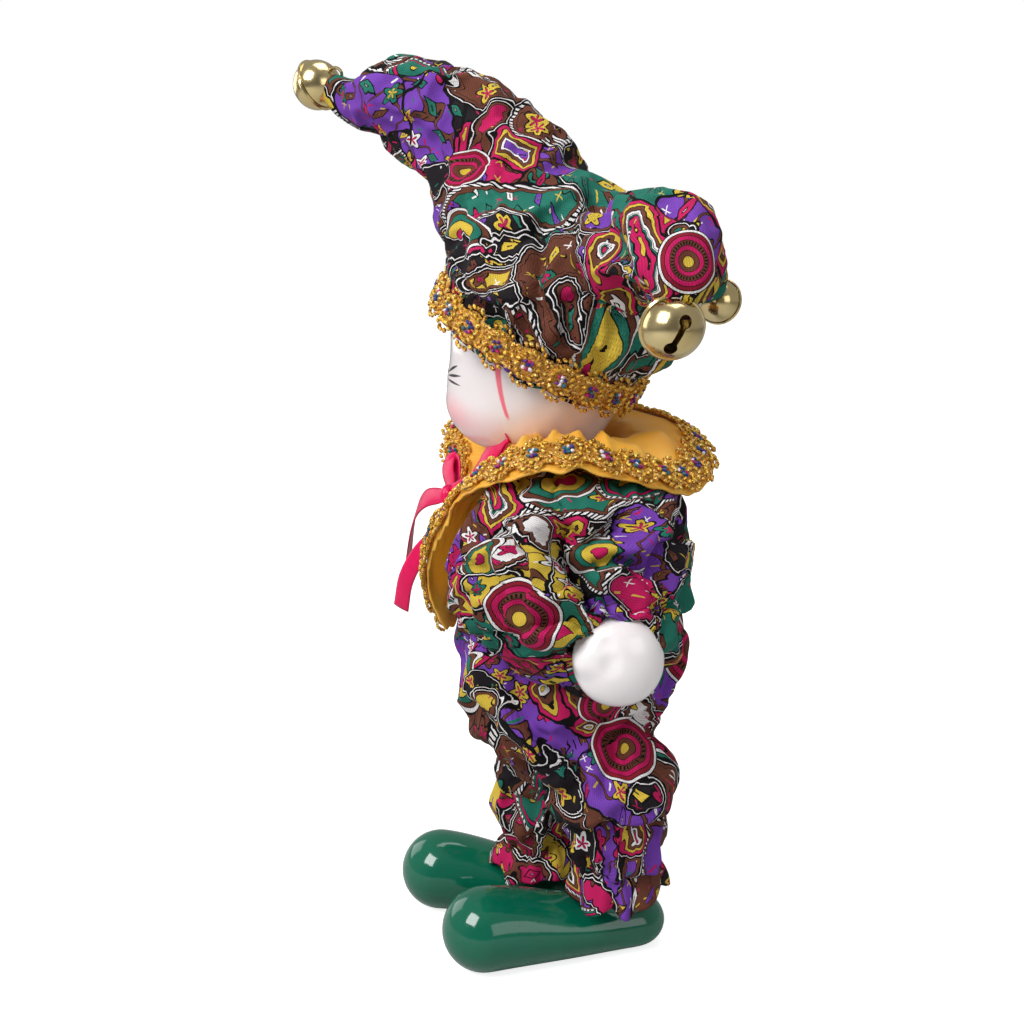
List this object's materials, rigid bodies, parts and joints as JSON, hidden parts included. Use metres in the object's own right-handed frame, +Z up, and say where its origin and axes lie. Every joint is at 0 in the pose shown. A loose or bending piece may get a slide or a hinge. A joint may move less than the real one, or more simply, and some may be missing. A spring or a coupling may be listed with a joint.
{
  "type": "jester doll",
  "caption": "Standing clown doll: porcelain head, hands and shoes, horned printed cloth hat with jingle bells, puffy printed suit and satin collar edged in gold braid.",
  "frame": {"origin": "middle of the doll's box, on the surface that it stands on", "axes": "+Z up through the head, -Y the way that the body faces, +X the doll's left side"},
  "size_m": [0.1116, 0.104, 0.1961],
  "materials": {
    "porcelain": "clear glossy glaze with painted face details",
    "green_glaze": "deep green glossy glaze",
    "print_cloth": "plain-weave cloth printed with a paisley pattern in several colours",
    "satin": "golden yellow satin",
    "gold_braid": "metallic gold braid with coloured thread in each flower",
    "ribbon": "magenta satin ribbon",
    "brass": "polished, pale"
  },
  "bodies": {
    "root": {"head": "porcelain", "hat": "print_cloth", "hat_braid": "gold_braid", "bell_front": "brass", "bell_left": "brass", "bell_right": "brass", "collar": "satin", "collar_braid": "gold_braid", "bow": "ribbon", "suit": "print_cloth", "hand_left": "porcelain", "hand_right": "porcelain", "shoe_left": "green_glaze", "shoe_right": "green_glaze"}
  },
  "joints": []
}
